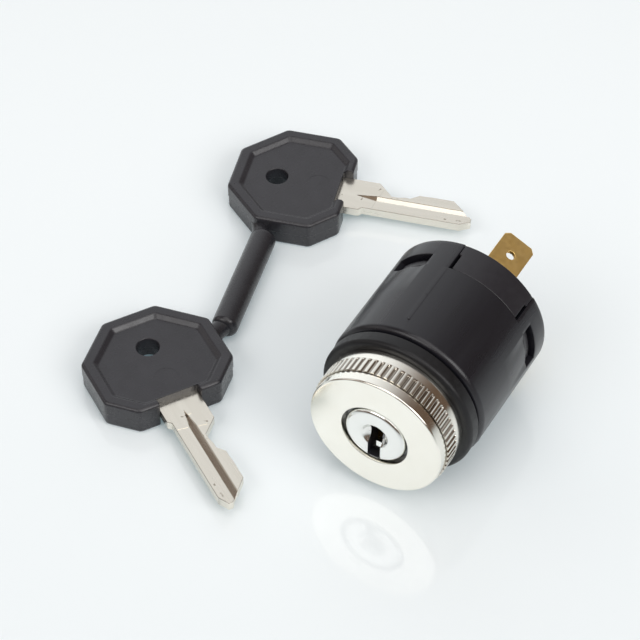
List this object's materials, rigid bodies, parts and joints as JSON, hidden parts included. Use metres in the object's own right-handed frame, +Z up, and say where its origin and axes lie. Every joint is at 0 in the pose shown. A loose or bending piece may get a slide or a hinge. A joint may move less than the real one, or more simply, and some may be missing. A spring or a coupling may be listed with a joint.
{
  "type": "ignition switch",
  "caption": "Panel-mount key ignition switch: black housing, knurled bezel nut, lock plug in a steel cap, push-on blade terminals, and linked keys with octagonal heads laid beside it.",
  "frame": {"origin": "on the switch's axis, at the plane where the panel is clamped between gasket and bezel nut", "axes": "-Y along the switch's axis towards its face, +Z up from the table that the switch and keys lie on, +X to the right as seen from the face"},
  "size_m": [0.0769, 0.0881, 0.03],
  "materials": {
    "nickel_plate": "bright nickel plate on brass, fine turning marks",
    "gasket_rubber": "matte black moulded rubber",
    "housing_nylon": "satin black moulded nylon",
    "base_nylon": "satin black moulded nylon",
    "cast_zinc": null,
    "plug_brass": "machined brass",
    "cap_steel": "polished stainless steel",
    "spring_steel": "drawn spring steel",
    "ball_steel": "ground steel ball",
    "rotor_acetal": "natural acetal",
    "contact_copper": "stamped copper",
    "tab_brass": "stamped brass",
    "rivet_copper": "silvered copper",
    "key_head_plastic": "matte charcoal moulded plastic",
    "key_nickel": "nickel-plated brass, milled edges"
  },
  "bodies": {
    "housing": {"panel_gasket": "gasket_rubber", "housing": "housing_nylon", "lock_barrel": "cast_zinc", "return_spring": "spring_steel", "terminal_base": "base_nylon", "terminal_1": "tab_brass", "terminal_2": "tab_brass", "terminal_3": "tab_brass", "contact_rivet_1": "rivet_copper", "contact_rivet_2": "rivet_copper", "contact_rivet_3": "rivet_copper", "key_heads": "key_head_plastic", "key_blade_1": "key_nickel", "key_blade_2": "key_nickel"},
    "lock": {"lock_plug": "plug_brass", "plug_cap": "cap_steel", "wafer_1": "plug_brass", "wafer_2": "plug_brass", "wafer_3": "plug_brass", "wafer_4": "plug_brass", "wafer_5": "plug_brass", "wafer_spring_1": "spring_steel", "wafer_spring_2": "spring_steel", "wafer_spring_3": "spring_steel", "wafer_spring_4": "spring_steel", "wafer_spring_5": "spring_steel", "plug_clip": "spring_steel", "rotor": "rotor_acetal", "contact_bridge": "contact_copper", "contact_spring": "spring_steel", "detent_ball_1": "ball_steel", "detent_ball_2": "ball_steel", "detent_spring_1": "spring_steel", "detent_spring_2": "spring_steel"},
    "nut": {"bezel_nut": "nickel_plate"}
  },
  "joints": [
    {"name": "key_turn", "type": "hinge", "parent": "housing", "child": "lock", "pos_m": [0, 0, 0], "axis": [0, 1, 0], "range_deg": [0, 80]},
    {"name": "nut_turn", "type": "hinge", "parent": "housing", "child": "nut", "pos_m": [0, 0, 0], "axis": [0, 1, 0], "continuous": true}
  ]
}
